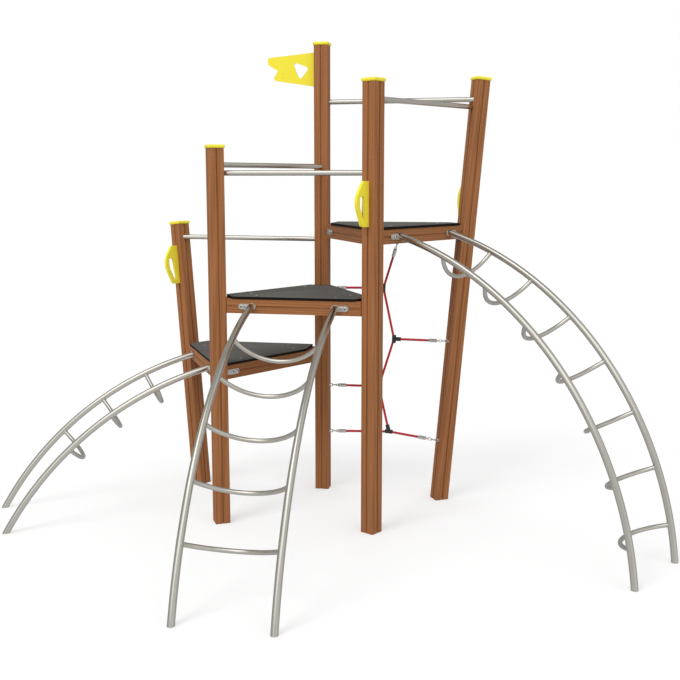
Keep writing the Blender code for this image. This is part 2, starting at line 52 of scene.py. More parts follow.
# Layout, as in the solids
SIDE = 1.0
ROW = SIDE * sqrt(3) / 2
CORNER = {
    1: (-SIDE, 0.0),
    2: (-SIDE / 2, -ROW),
    3: (0.0, 0.0),
    4: (SIDE / 2, -ROW),
    5: (SIDE, 0.0),
}
FOOT = {1: (-0.9167, -0.0534), 2: CORNER[2], 3: CORNER[3], 4: CORNER[4], 5: (0.8605, -0.0954)}
LEAN = {1: (-0.0843, 0.0531), 2: (0.0, 0.0), 3: (0.0, 0.0), 4: (0.0, 0.0), 5: (0.0773, 0.0501)}
TRIANGLE = {"low": (1, 2, 3), "mid": (2, 4, 3), "top": (3, 4, 5)}
DECK_TOP = {"low": 1.058, "mid": 1.50, "top": 1.94}
DECK_T = 0.015
BEAM_H = 0.095
BEAM_T = 0.045
GAP = 0.0003
POST_W = 0.097
RAIL_R = 0.0212
RAIL_GAUGE = 0.540
RUNG_R = 0.0134
RUNG_BOW = 0.157
BOW_R = (RAIL_GAUGE ** 2 / 4 + RUNG_BOW ** 2) / (2 * RUNG_BOW)
BOW_HALF = atan2(RAIL_GAUGE / 2, BOW_R - RUNG_BOW)
PLATE_T = 0.006
PLATE_H = 0.038
PLATE_IN = 0.029
PLATE_OUT = 0.085
BAR_R = 0.01685
# height, then for each end the post and the way its face looks, in degrees
BARS = {
    "bar_1_3": (DECK_TOP["low"] + 0.757, 1, -30, 3, 180),
    "bar_2_4": (DECK_TOP["mid"] + 0.770, 2, 30, 4, 150),
    "bar_2_3": (DECK_TOP["mid"] + 0.820, 2, 30, 3, 270),
    "bar_4_5": (DECK_TOP["top"] + 0.769, 4, 60, 5, 210),
    "bar_3_5": (DECK_TOP["top"] + 0.818, 3, 0, 5, 210),
}
ARC_TOP = {"low": DECK_TOP["low"] - 0.008, "mid": DECK_TOP["mid"], "top": DECK_TOP["top"]}
ARC_BACK = {"low": 0.4605, "mid": 0.4787, "top": 0.4776}
ARC_R = {"low": 2.0873, "mid": 2.1281, "top": 2.1714}
RUNG_COUNT = {"low": 3, "mid": 5, "top": 7}
RUNG_FIRST = {"low": 66.6, "mid": 64.8, "top": 67.2}
RUNG_STEP = {"low": 9.35, "mid": 9.15, "top": 9.18}
LADDER_EDGE = {"low": (1, 2), "mid": (2, 4), "top": (4, 5)}
BEAMS = {
    "beam_low_1_2": ("low", 1, 2),
    "beam_low_2_3": ("low", 2, 3),
    "beam_low_1_3": ("low", 1, 3),
    "beam_mid_2_4": ("mid", 2, 4),
    "beam_mid_2_3": ("mid", 2, 3),
    "beam_mid_3_4": ("mid", 3, 4),
    "beam_top_4_5": ("top", 4, 5),
    "beam_top_3_4": ("top", 3, 4),
    "beam_top_3_5": ("top", 3, 5),
}


def corner(i):
    return Vector((*CORNER[i], 0.0))


def deck_middle(deck):
    return sum((corner(k) for k in TRIANGLE[deck]), Vector()) / 3


def outward(a, b, deck):
    """Directions along a deck's edge and square to it, away from the deck."""
    along = (corner(b) - corner(a)).normalized()
    square = Vector((along.y, -along.x, 0))
    if square.dot(corner(a) - deck_middle(deck)) < 0:
        square = -square
    return along, square


def beam_height(deck):
    return DECK_TOP[deck] - DECK_T - GAP - BEAM_H / 2


def post_tilt(i):
    return Vector((0, 0, 1)).rotation_difference(Vector((*LEAN[i], 1.0))).to_matrix()


def face_spot(i, angle, z):
    """Middle of a post's face at a height, and the face's normal."""
    normal = post_tilt(i) @ Vector((cos(radians(angle)), sin(radians(angle)), 0))
    axis = Vector((FOOT[i][0] + LEAN[i][0] * z, FOOT[i][1] + LEAN[i][1] * z, z))
    return axis + normal * POST_W / 2, normal


def placed(origin, x_axis, y_axis):
    """Placement whose X and Y follow the given directions."""
    x = Vector(x_axis).normalized()
    z = x.cross(Vector(y_axis)).normalized()
    rows = Matrix((x, z.cross(x), z)).transposed().to_4x4()
    return Matrix.Translation(Vector(origin)) @ rows


def upright(origin, way):
    """Placement whose Z follows a direction."""
    side = Vector(way).orthogonal().normalized()
    return placed(origin, side, Vector(way).cross(side))


def facing(origin, x_axis, out):
    """Placement on a vertical face: X follows the given direction and Z looks outward."""
    place = placed(origin, x_axis, (0, 0, 1))
    if (place.to_3x3() @ Vector((0, 0, 1))).dot(out) < 0:
        place = placed(origin, x_axis, (0, 0, -1))
    return place


def rail_seat(deck, side, above):
    """Placement at the middle of a rail's plate, above the beam's front by a distance."""
    a, b = LADDER_EDGE[deck]
    along, out = outward(a, b, deck)
    seat = (corner(a) + corner(b)) / 2 + out * (BEAM_T / 2 + GAP + above) + along * side * RAIL_GAUGE / 2
    seat.z = beam_height(deck)
    return facing(seat, along * side, out)


# Material helpers
class Tree:
    """Short hand for building a Principled material."""

    def __init__(self, name):
        self.mat = bpy.data.materials.new(name)
        self.mat.use_nodes = True
        self.nodes = self.mat.node_tree.nodes
        self.links = self.mat.node_tree.links
        self.shader = self.nodes["Principled BSDF"]

    def add(self, kind, **values):
        node = self.nodes.new(kind)
        for key, value in values.items():
            setattr(node, key, value)
        return node

    def link(self, source, target):
        self.links.new(source, target)

    def place(self, rotation=(0, 0, 0), location=(0, 0, 0)):
        coords = self.add("ShaderNodeTexCoord")
        mapping = self.add("ShaderNodeMapping")
        mapping.inputs["Rotation"].default_value = rotation
        mapping.inputs["Location"].default_value = location
        self.link(coords.outputs["Object"], mapping.inputs["Vector"])
        return mapping.outputs["Vector"]

    def scaled(self, vector, scale):
        mapping = self.add("ShaderNodeMapping")
        mapping.inputs["Scale"].default_value = scale
        self.link(vector, mapping.inputs["Vector"])
        return mapping.outputs["Vector"]

    def noise(self, vector, scale, detail, rough, distortion=0.0):
        node = self.add("ShaderNodeTexNoise")
        node.inputs["Scale"].default_value = scale
        node.inputs["Detail"].default_value = detail
        node.inputs["Roughness"].default_value = rough
        node.inputs["Distortion"].default_value = distortion
        self.link(vector, node.inputs["Vector"])
        return node.outputs["Fac"]

    def ramp(self, fac, stops):
        node = self.add("ShaderNodeValToRGB")
        while len(node.color_ramp.elements) < len(stops):
            node.color_ramp.elements.new(0.5)
        for element, (spot, colour) in zip(node.color_ramp.elements, stops):
            element.position = spot
            element.color = (*colour, 1.0)
        self.link(fac, node.inputs["Fac"])
        return node.outputs["Color"]

    def span(self, fac, low, high, start=0.0, end=1.0):
        node = self.add("ShaderNodeMapRange")
        node.inputs["From Min"].default_value = start
        node.inputs["From Max"].default_value = end
        node.inputs["To Min"].default_value = low
        node.inputs["To Max"].default_value = high
        self.link(fac, node.inputs["Value"])
        return node.outputs["Result"]

    def math(self, operation, a, b):
        node = self.add("ShaderNodeMath", operation=operation)
        for socket, value in zip(node.inputs, (a, b)):
            if isinstance(value, (int, float)):
                socket.default_value = value
            else:
                self.link(value, socket)
        return node.outputs["Value"]

    def mix(self, fac, a, b):
        """Blend of two colours. The node's sockets 0, 6 and 7 are its factor and its colours."""
        node = self.add("ShaderNodeMix", data_type="RGBA")
        for socket, value in ((node.inputs[0], fac), (node.inputs[6], a), (node.inputs[7], b)):
            if isinstance(value, tuple):
                socket.default_value = (*value, 1.0)
            else:
                self.link(value, socket)
        return node.outputs[2]

    def bump(self, height, depth, strength, over=None):
        node = self.add("ShaderNodeBump")
        node.inputs["Strength"].default_value = strength
        node.inputs["Distance"].default_value = depth
        self.link(height, node.inputs["Height"])
        if over:
            self.link(over, node.inputs["Normal"])
        return node.outputs["Normal"]

    def even(self, **sockets):
        """Set sockets that are the same all over the surface."""
        for key, value in sockets.items():
            self.shader.inputs[key.replace("_", " ")].default_value = value

    def done(self, colour, rough, normal, **sockets):
        self.link(colour, self.shader.inputs["Base Color"])
        self.link(rough, self.shader.inputs["Roughness"])
        self.link(normal, self.shader.inputs["Normal"])
        self.even(**sockets)
        return self.mat


def wood(name, grain, seed, tone_and_shade=1.0):
    """Stained softwood whose grain runs along a direction; the tone factor darkens all of it, for a board's
    own stain and, on two beams, for painted shade.
    """
    t = Tree(name)
    grain = Vector(grain).normalized()
    turn = grain.rotation_difference(Vector((1, 0, 0))).to_euler()
    base = t.place(rotation=tuple(turn), location=(seed * 0.731, seed * 0.173, seed * 0.219))
    warp = t.noise(t.scaled(base, (0.9, 8, 8)), 1.0, 3, 0.5)
    rings = t.add("ShaderNodeTexWave", wave_type="BANDS", bands_direction="DIAGONAL", wave_profile="SIN")
    rings.inputs["Scale"].default_value = 11.0
    rings.inputs["Distortion"].default_value = 6.0
    rings.inputs["Detail"].default_value = 3.0
    rings.inputs["Detail Scale"].default_value = 0.7
    t.link(t.scaled(base, (0.07, 3.4, 3.4)), rings.inputs["Vector"])
    streak = t.noise(t.scaled(base, (1.1, 95, 95)), 1.0, 5, 0.6, 0.15)
    fibre = t.noise(t.scaled(base, (11, 640, 640)), 1.0, 3, 0.6)
    cloud = t.noise(t.scaled(base, (0.8, 2.5, 2.5)), 1.0, 2, 0.5)
    blend = t.math("ADD", t.math("MULTIPLY", rings.outputs["Fac"], 0.22),
                   t.math("ADD", t.math("MULTIPLY", streak, 0.62), t.math("MULTIPLY", warp, 0.24)))
    dark, low, mid, light = [tuple(tone_and_shade * c for c in rgb) for rgb in (
        (0.258, 0.100, 0.034), (0.336, 0.132, 0.046), (0.384, 0.155, 0.057), (0.432, 0.182, 0.070))]
    colour = t.ramp(blend, [(0.34, dark), (0.50, low), (0.64, mid), (0.84, light)])
    colour = t.mix(t.span(fibre, 0.0, 0.18, 0.46, 0.72), colour, tuple(0.62 * c for c in dark))
    colour = t.mix(t.span(cloud, 0.0, 0.14), colour, light)
    rough = t.span(streak, 0.52, 0.70)
    normal = t.bump(fibre, 0.0005, 0.45, t.bump(blend, 0.0008, 0.35))
    return t.done(colour, rough, normal, Specular_IOR_Level=0.25)


def plastic_yellow():
    t = Tree("yellow_moulded")
    base = t.place()
    cloud = t.noise(base, 6.0, 3, 0.5)
    grain = t.noise(base, 900.0, 2, 0.6)
    speck = t.noise(base, 190.0, 4, 0.6)
    colour = t.mix(t.span(cloud, 0.0, 1.0), (0.94, 0.810, 0.035), (0.97, 0.850, 0.055))
    colour = t.mix(t.span(speck, 0.0, 0.12, 0.55, 0.75), colour, (0.80, 0.62, 0.020))
    return t.done(colour, t.span(cloud, 0.34, 0.46), t.bump(grain, 0.0003, 0.25), Specular_IOR_Level=0.4)


def deck_board():
    t = Tree("deck_laminate")
    base = t.place()
    cells = t.add("ShaderNodeTexVoronoi", feature="F1", distance="CHEBYCHEV")
    cells.inputs["Scale"].default_value = 170.0
    cells.inputs["Randomness"].default_value = 0.15
    t.link(base, cells.inputs["Vector"])
    grain = t.noise(base, 420.0, 3, 0.6)
    cloud = t.noise(base, 3.2, 4, 0.55)
    scuff = t.noise(t.scaled(base, (5, 34, 5)), 1.0, 4, 0.7, 0.6)
    colour = t.ramp(cloud, [(0.30, (0.110, 0.108, 0.098)), (0.72, (0.140, 0.138, 0.126))])
    colour = t.mix(t.span(scuff, 0.0, 0.28, 0.56, 0.80), colour, (0.195, 0.191, 0.176))
    colour = t.mix(t.span(cells.outputs["Distance"], 0.0, 0.30, 0.20, 0.62), colour, (0.028, 0.028, 0.029))
    facing = t.add("ShaderNodeNewGeometry")
    tall = t.add("ShaderNodeSeparateXYZ")
    t.link(facing.outputs["True Normal"], tall.inputs["Vector"])
    edge_band = t.noise(t.scaled(base, (4, 4, 900)), 1.0, 2, 0.5)
    edge = t.mix(edge_band, (0.004, 0.0037, 0.0033), (0.011, 0.0095, 0.008))
    colour = t.mix(t.span(t.math("ABSOLUTE", tall.outputs["Z"], 0.0), 0.0, 1.0, 0.4, 0.8), edge, colour)
    rough = t.span(scuff, 0.56, 0.76)
    normal = t.bump(cells.outputs["Distance"], 0.0010, 0.5, t.bump(grain, 0.0004, 0.4))
    return t.done(colour, rough, normal, Specular_IOR_Level=0.10)


def steel(name, tint, rough, brush=1.0):
    """Satin stainless with fine brushing and faint handling marks."""
    t = Tree(name)
    base = t.place()
    fine = t.noise(base, 1400.0, 2, 0.6)
    lines = t.noise(t.scaled(base, (30, 30, 620)), 1.0, 3, 0.6)
    cloud = t.noise(base, 11.0, 4, 0.55)
    colour = t.mix(t.span(cloud, 0.0, 1.0, 0.3, 0.7), tuple(0.96 * c for c in tint), tint)
    colour = t.mix(t.span(lines, 0.0, 0.16 * brush, 0.45, 0.75), colour, tuple(0.74 * c for c in tint))
    roughness = t.math("ADD", t.span(cloud, rough - 0.03, rough + 0.04), t.span(fine, -0.02, 0.03))
    return t.done(colour, roughness, t.bump(fine, 0.00008, 0.25 * brush), Metallic=1.0)


def galvanised():
    t = Tree("zinc_fitting")
    base = t.place()
    spangle = t.add("ShaderNodeTexVoronoi", feature="F1")
    spangle.inputs["Scale"].default_value = 260.0
    t.link(base, spangle.inputs["Vector"])
    cloud = t.noise(base, 60.0, 3, 0.6)
    colour = t.mix(t.span(spangle.outputs["Distance"], 0.0, 0.6), (0.74, 0.73, 0.70), (0.55, 0.54, 0.52))
    return t.done(colour, t.span(cloud, 0.30, 0.48), t.bump(cloud, 0.0002, 0.4), Metallic=1.0)


def black_moulded():
    t = Tree("black_moulded")
    base = t.place()
    cloud = t.noise(base, 45.0, 3, 0.6)
    grain = t.noise(base, 1100.0, 2, 0.6)
    colour = t.mix(cloud, (0.016, 0.016, 0.018), (0.036, 0.036, 0.039))
    return t.done(colour, t.span(cloud, 0.38, 0.56), t.bump(grain, 0.0003, 0.35))


def rope_red():
    t = Tree("rope_yarn")
    base = t.place()
    yarn = t.noise(base, 1300.0, 2, 0.7)
    cloud = t.noise(base, 28.0, 3, 0.6)
    colour = t.mix(t.span(cloud, 0.0, 1.0), (0.58, 0.016, 0.030), (0.72, 0.030, 0.050))
    colour = t.mix(t.span(yarn, 0.0, 0.30, 0.42, 0.74), colour, (0.34, 0.006, 0.014))
    rough = t.span(yarn, 0.62, 0.86)
    return t.done(colour, rough, t.bump(yarn, 0.0006, 0.6), Sheen_Weight=0.25, Sheen_Roughness=0.5)


STEEL = steel("satin_tube", (0.670, 0.648, 0.586), 0.225)
PLATE = steel("satin_plate", (0.66, 0.65, 0.63), 0.34, 0.6)
BOLT = steel("bolt_bright", (0.70, 0.69, 0.67), 0.24, 0.3)
# near-black steel that paints shade into the bolt and screw sockets
SOCKET_SHADE = steel("bolt_socket_shade", (0.05, 0.05, 0.05), 0.55, 0.2)
YELLOW = plastic_yellow()
DECK = deck_board()
ZINC = galvanised()
BLACK = black_moulded()
ROPE = rope_red()


def dress(node, mat):
    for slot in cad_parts[node].material_slots:
        slot.material = mat


# two beams are darkened as painted shade, for the shade they get beside the mid deck; the other beams keep
# their own tone of 0.97
BEAM_PAINTED_SHADE = {"beam_top_3_4": 0.78, "beam_low_2_3": 0.84}
for i in FOOT:
    dress("post_%d" % i, wood("post_grain_%d" % i, (*LEAN[i], 1.0), i))
for seed, (name, (deck, a, b)) in enumerate(BEAMS.items(), 11):
    along = outward(a, b, deck)[0]
    dress(name, wood("grain_" + name, along, seed, BEAM_PAINTED_SHADE.get(name, 0.97)))
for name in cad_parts:
    if name.startswith(("cap_", "grip_", "flag")):
        dress(name, YELLOW)
    elif name.startswith("deck_"):
        dress(name, DECK)
    elif name.startswith("net_end"):
        dress(name, ZINC)


# Mesh helpers
def piece(name, bm, mats, place=None, smooth=35):
    """A new object of the visual model on the only body."""
    bmesh.ops.recalc_face_normals(bm, faces=bm.faces)
    mesh = bpy.data.meshes.new(name)
    bm.to_mesh(mesh)
    bm.free()
    for mat in mats:
        mesh.materials.append(mat)
    mesh.shade_smooth()
    mesh.set_sharp_from_angle(angle=radians(smooth))
    obj = bpy.data.objects.new(name, mesh)
    scene.collection.objects.link(obj)
    if place:
        obj.matrix_world = place
    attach(obj, "root")
    return obj


def ring(bm, centre, across, over, radius, count):
    """A circle of points in the plane of two directions."""
    return [bm.verts.new(centre + (across * cos(t) + over * sin(t)) * radius)
            for t in (2 * pi * k / count for k in range(count))]


def skin(bm, rows):
    """Join rows of points to a tube and close its ends."""
    count = len(rows[0])
    for low, high in zip(rows, rows[1:]):
        for k in range(count):
            n = (k + 1) % count
            bm.faces.new((low[k], low[n], high[n], high[k]))
    bm.faces.new(rows[0][::-1])
    bm.faces.new(rows[-1])


def lathe(bm, profile, sides, place, mat=0, hexed=99, inner=0):
    """Add a closed turned solid whose profile is (radius, height) pairs from axis to axis.

    Rows from number hexed on are hexagonal, and the faces past the first of them take the inner material.
    """
    rings = []
    for row, (r, z) in enumerate(profile):
        if r == 0:
            rings.append([bm.verts.new(place @ Vector((0, 0, z)))])
        else:
            circle = []
            for t in (2 * pi * k / sides for k in range(sides)):
                reach = r * cos(pi / 6) / cos(t % (pi / 3) - pi / 6) if row >= hexed else r
                circle.append(bm.verts.new(place @ Vector((reach * cos(t), reach * sin(t), z))))
            rings.append(circle)
    for row, (lower, upper) in enumerate(zip(rings, rings[1:])):
        for k in range(sides):
            n = (k + 1) % sides
            if len(lower) == 1:
                made = bm.faces.new((lower[0], upper[k], upper[n]))
            elif len(upper) == 1:
                made = bm.faces.new((lower[n], lower[k], upper[0]))
            else:
                made = bm.faces.new((lower[k], lower[n], upper[n], upper[k]))
            made.material_index = inner if row >= hexed else mat


def slab(bm, outline, thick, place, soft=0.0008):
    """Add a flat plate with softened edges; its outline is in XY and it rises along Z from zero."""
    centre = sum((Vector((*p, 0)) for p in outline), Vector()) / len(outline)
    rows = []
    for inset, z in ((0.0, 0.0), (0.0, thick - soft), (soft, thick)):
        row = []
        for x, y in outline:
            p = Vector((x, y, 0))
            p += (centre - p).normalized() * inset
            row.append(bm.verts.new(place @ Vector((p.x, p.y, z))))
        rows.append(row)
    skin(bm, rows)


def pill(length, width, radius, steps=6):
    """Outline of a rectangle with round corners, centred on zero."""
    out = []
    for sx, sy, start in ((1, 1, 0), (-1, 1, 90), (-1, -1, 180), (1, -1, 270)):
        for k in range(steps + 1):
            a = radians(start + 90 * k / steps)
            x = sx * (length / 2 - radius) + radius * cos(a)
            y = sy * (width / 2 - radius) + radius * sin(a)
            out.append((x, y))
    return out


HEAD_R = 0.0085
WASHER_R = HEAD_R * 1.45
WASHER_T = 0.0016


def button_head(bm, place, high):
    """Domed bolt head with a washer under it, in the second material, and a socket in the third, near-black
    as painted shade in the recess.
    """
    washer = [(0.0, 0.0), (WASHER_R, 0.0), (WASHER_R, 0.0012), (HEAD_R * 1.38, WASHER_T), (HEAD_R, WASHER_T)]
    dome = [(HEAD_R * cos(radians(a)), WASHER_T + high * sin(radians(a))) for a in (18, 36, 54)]
    well = [(HEAD_R * 0.52, WASHER_T + high), (HEAD_R * 0.48, high * 0.4), (0.0, high * 0.35)]
    lathe(bm, washer + dome + well, 24, place, 1, len(washer + dome), 2)


# Round tubes
HANDS = ((-1, "left"), (1, "right"))
# bars and rails are made this much too long and then cut
BAR_SPARE = 0.03
RAIL_SPARE = 0.03
# the rails are shown a little slimmer, so that they stay inside the box of the solids
RAIL_SHOWN_R = RAIL_R - 0.0005
PLATE_WELD_R = 0.0018


def ladder_point(deck, degrees_up, sag, across):
    """A spot on a ladder's arc, sunk below it by sag and off its middle line by across."""
    a, b = LADDER_EDGE[deck]
    along, out = outward(a, b, deck)
    turn = radians(degrees_up)
    reach = (ARC_R[deck] - sag) * cos(turn) - ARC_BACK[deck]
    height = ARC_TOP[deck] - ARC_R[deck] + (ARC_R[deck] - sag) * sin(turn)
    return (corner(a) + corner(b)) / 2 + along * across + out * reach + Vector((0, 0, height))


def bead(bm, loop, radius):
    """Closed rippled bead, six-sided, through a loop of points."""
    count = len(loop)
    rows = []
    for k, p in enumerate(loop):
        way = (loop[(k + 1) % count] - loop[k - 1]).normalized()
        side = way.orthogonal().normalized()
        rows.append(ring(bm, p, side, way.cross(side), radius * (1.0 + 0.16 * (k % 2)), 6))
    for k in range(count):
        low, high = rows[k], rows[(k + 1) % count]
        shift = min(range(6), key=lambda s: (low[0].co - high[s].co).length)
        for j in range(6):
            n = (j + 1) % 6
            bm.faces.new((low[j], low[n], high[(n + shift) % 6], high[(j + shift) % 6]))


def sweep(bm, path, radius, sides=28):
    """Add a round tube along a smooth path, closed at both ends."""
    rows = []
    up = (path[1] - path[0]).orthogonal().normalized()
    for k, p in enumerate(path):
        way = (path[min(k + 1, len(path) - 1)] - path[max(k - 1, 0)]).normalized()
        up = (up - way * up.dot(way)).normalized()
        rows.append(ring(bm, p, up, way.cross(up), radius, sides))
    skin(bm, rows)


def trim(bm, point, normal):
    """Cut away what lies beyond a plane on its normal side and close the cut."""
    geom = list(bm.verts) + list(bm.edges) + list(bm.faces)
    cut = bmesh.ops.bisect_plane(bm, geom=geom, dist=1e-6, plane_co=point, plane_no=normal, clear_outer=True)
    rim = [e for e in cut["geom_cut"] if isinstance(e, bmesh.types.BMEdge)]
    bmesh.ops.holes_fill(bm, edges=rim, sides=0)


def rung_turns(deck):
    """How far up the arc each rung sits, in degrees, from the top rung down."""
    return [RUNG_FIRST[deck] - RUNG_STEP[deck] * k for k in range(RUNG_COUNT[deck])]


def rung_tube(bm, deck, degrees_up):
    """Bowed rung from rail to rail; its ends lie inside the rails."""
    path = []
    for k in range(41):
        turn = BOW_HALF * (k / 20 - 1)
        sag = BOW_R * cos(turn) - (BOW_R - RUNG_BOW)
        path.append(ladder_point(deck, degrees_up, sag, BOW_R * sin(turn)))
    sweep(bm, path, RUNG_R, 22)


def rail_tube(bm, deck, side):
    """Rail cut at the ground and in its stadium plate, with the plate and the weld round the rail."""
    along, out = outward(*LADDER_EDGE[deck], deck)
    place = rail_seat(deck, side, 0.0)
    seat = place.translation
    low = degrees(asin((ARC_R[deck] - ARC_TOP[deck] - RAIL_SPARE) / ARC_R[deck]))
    high = 90 - degrees(asin(ARC_BACK[deck] / ARC_R[deck]))
    path = [ladder_point(deck, low + (high - low) * k / 80, 0.0, side * RAIL_GAUGE / 2) for k in range(81)]
    sweep(bm, path, RAIL_SHOWN_R)
    trim(bm, Vector((0, 0, 0)), Vector((0, 0, -1)))
    trim(bm, seat + out * PLATE_T / 2, -out)
    middle = (PLATE_OUT - PLATE_IN) / 2
    stadium = [(x + middle, y) for x, y in pill(PLATE_OUT + PLATE_IN, PLATE_H, PLATE_H / 2 - 0.0005, 8)]
    slab(bm, stadium, PLATE_T, place)
    way = (path[-1] - path[-4]).normalized()
    up = way.cross(along).normalized()
    loop = []
    for k in range(36):
        t = 2 * pi * k / 36
        spot = path[-1] + (along * cos(t) + up * sin(t)) * RAIL_R
        loop.append(spot - way * (spot - seat - out * PLATE_T).dot(out) / way.dot(out))
    bead(bm, loop, PLATE_WELD_R)


def stand_for(bm, node):
    """Show a mesh in place of the solid that has the same form in flat faces."""
    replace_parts(piece("round_" + node, bm, [STEEL]), node)


for deck in LADDER_EDGE:
    for side, hand in HANDS:
        bm = bmesh.new()
        rail_tube(bm, deck, side)
        if deck == "low" and side < 0:
            for turn in rung_turns(deck):
                rung_tube(bm, deck, turn)
            stand_for(bm, "ladder_low_left")
        else:
            stand_for(bm, "rail_%s_%s" % (deck, hand))
    if deck != "low":
        for number, turn in enumerate(rung_turns(deck), 1):
            bm = bmesh.new()
            rung_tube(bm, deck, turn)
            stand_for(bm, "rung_%s_%d" % (deck, number))
for name, (height, a, turn_a, b, turn_b) in BARS.items():
    (start, near), (end, far) = face_spot(a, turn_a, height), face_spot(b, turn_b, height)
    way = (end - start).normalized() * BAR_SPARE
    bm = bmesh.new()
    sweep(bm, [start - way, start.lerp(end, 0.5), end + way], BAR_R)
    trim(bm, start + near * GAP, -near)
    trim(bm, end + far * GAP, -far)
    stand_for(bm, name)


# Beam brackets
INNER = ("beam_low_1_2", "beam_mid_2_4", "beam_top_4_5")
HIDDEN = (("beam_low_2_3", 3), ("beam_top_3_4", 4))
NEAR_START = 0.052
FAR_START = {("beam_low_2_3", 3): 0.16, ("beam_top_3_4", 3): 0.19}
BRACKET_L = 0.102
BRACKET_H = 0.036
BRACKET_T = 0.004
# along the plate from its middle
BRACKET_BOLTS = (-0.006, 0.034)
BOLTED = [PLATE, BOLT, SOCKET_SHADE]
for name, (deck, a, b) in BEAMS.items():
    along, out = outward(a, b, deck)
    for here, way in ((a, along), (b, -along)):
        start = FAR_START.get((name, here), NEAR_START)
        face_out = -out if name in INNER or (name, here) in HIDDEN else out
        spot = corner(here) + way * (start + BRACKET_L / 2) + face_out * (BEAM_T / 2 + 0.0001)
        spot.z = beam_height(deck)
        bm = bmesh.new()
        slab(bm, pill(BRACKET_L, BRACKET_H, 0.012), BRACKET_T, Matrix())
        for x in BRACKET_BOLTS:
            button_head(bm, Matrix.Translation((x, 0, BRACKET_T)), 0.005)
        place = facing(spot, way, face_out)
        piece("bracket_%s_%d" % (name[5:], here), bm, BOLTED, place)


# Bolts of the rail plates
RAIL_BOLTS = (0.0395, 0.0625)
for deck in LADDER_EDGE:
    for side, hand in HANDS:
        bm = bmesh.new()
        for x in RAIL_BOLTS:
            button_head(bm, Matrix.Translation((x, 0, -0.0002)), 0.0045)
        place = rail_seat(deck, side, PLATE_T)
        piece("nuts_%s_%s" % (deck, hand), bm, BOLTED, place)


# Deck screws
# two near each post, at this distance and swung by these degrees to both sides of the corner's middle line
SCREW_REACH = 0.25
SCREW_SWING = 17
SCREW_HEAD = [(0.0, 0.0), (0.0078, 0.0), (0.0075, 0.0012), (0.0058, 0.0020)]
# the well of each screw head takes the near-black socket steel, as painted shade
SCREW_WELL = [(0.0032, 0.0021), (0.0028, 0.0009), (0.0, 0.0009)]
for deck, posts in TRIANGLE.items():
    bm = bmesh.new()
    for here in posts:
        inward = (deck_middle(deck) - corner(here)).normalized()
        for swing in (-SCREW_SWING, SCREW_SWING):
            spot = corner(here) + Matrix.Rotation(radians(swing), 3, "Z") @ inward * SCREW_REACH
            spot.z = DECK_TOP[deck] - 0.0002
            lathe(bm, SCREW_HEAD + SCREW_WELL, 24, Matrix.Translation(spot), 0, len(SCREW_HEAD), 1)
    piece("deck_screws_" + deck, bm, [BOLT, SOCKET_SHADE])


# Weld beads where the rungs meet the rails
RUNG_WELD_R = 0.0020
WELD_OFF = 0.0004
for deck, (a, b) in LADDER_EDGE.items():
    bm = bmesh.new()
    along = outward(a, b, deck)[0]
    for degrees_up in rung_turns(deck):
        on_arc = ladder_point(deck, degrees_up, 0.0, 0.0)
        radial = (ladder_point(deck, degrees_up, -0.1, 0.0) - on_arc).normalized()
        tangent = along.cross(radial).normalized()
        for side in (-1, 1):
            centre = ladder_point(deck, degrees_up, 0.0, side * RAIL_GAUGE / 2)
            inward = (-along * side * cos(BOW_HALF) - radial * sin(BOW_HALF)).normalized()
            across = inward.cross(tangent).normalized()
            loop = []
            for k in range(28):
                t = 2 * pi * k / 28
                off = (tangent * cos(t) + across * sin(t)) * (RUNG_R + WELD_OFF)
                flat = off - tangent * off.dot(tangent)
                # where the rung's line at this offset leaves the rail's round side
                half = flat.dot(inward)
                reach = -half + sqrt(half * half - flat.length_squared + RAIL_R ** 2)
                loop.append(centre + off + inward * (reach + WELD_OFF))
            bead(bm, loop, RUNG_WELD_R)
    piece("welds_" + deck, bm, [PLATE], smooth=60)


# Rope with its lay
ROPE_R = 0.0088
ROPE_PITCH = 0.052
STRAND_R = ROPE_R / 3 * 1.02
CORE_R = ROPE_R * 0.45
KNOTS = {
    "a": Vector((0.438, 0.0, 1.478)),
    "b": Vector((0.517, -0.014, 1.119)),
    "c": Vector((0.409, 0.0, 0.771)),
    "d": Vector((0.486, -0.020, 0.447)),
}


# net ends, as in the solids
EYE_STAND = 0.016
EYE_R = 0.010
WIRE_R = 0.003
LINK_OVERLAP = 0.005
RING_R = 0.008
FERRULE_L = 0.060


def rope_start(spot, normal, goal, count, link_long):
    """Where the rope leaves its ferrule, past the eye, the links and the ring of a net end."""
    base = spot + normal * EYE_STAND
    way = (goal - base).normalized()
    links = EYE_R + count * (link_long - LINK_OVERLAP)
    return base + way * (links - LINK_OVERLAP + 2 * RING_R - WIRE_R / 2 + FERRULE_L)


under_beam = Vector((0.539, 0, beam_height("top") - BEAM_H / 2))
# for each end the place and way of its eye bolt, its crossing, and how many links of what length it has
ENDS = {
    "top": (under_beam, Vector((0, 0, -1)), "a", 2, 0.026),
    "a": (*face_spot(3, 0, 1.473), "a", 1, 0.034),
    "b": (*face_spot(5, 210, 1.118), "b", 2, 0.028),
    "c": (*face_spot(3, 0, 0.768), "c", 1, 0.034),
    "d": (*face_spot(3, 0, 0.427), "d", 1, 0.034),
    "e": (*face_spot(5, 210, 0.417), "d", 2, 0.034),
}


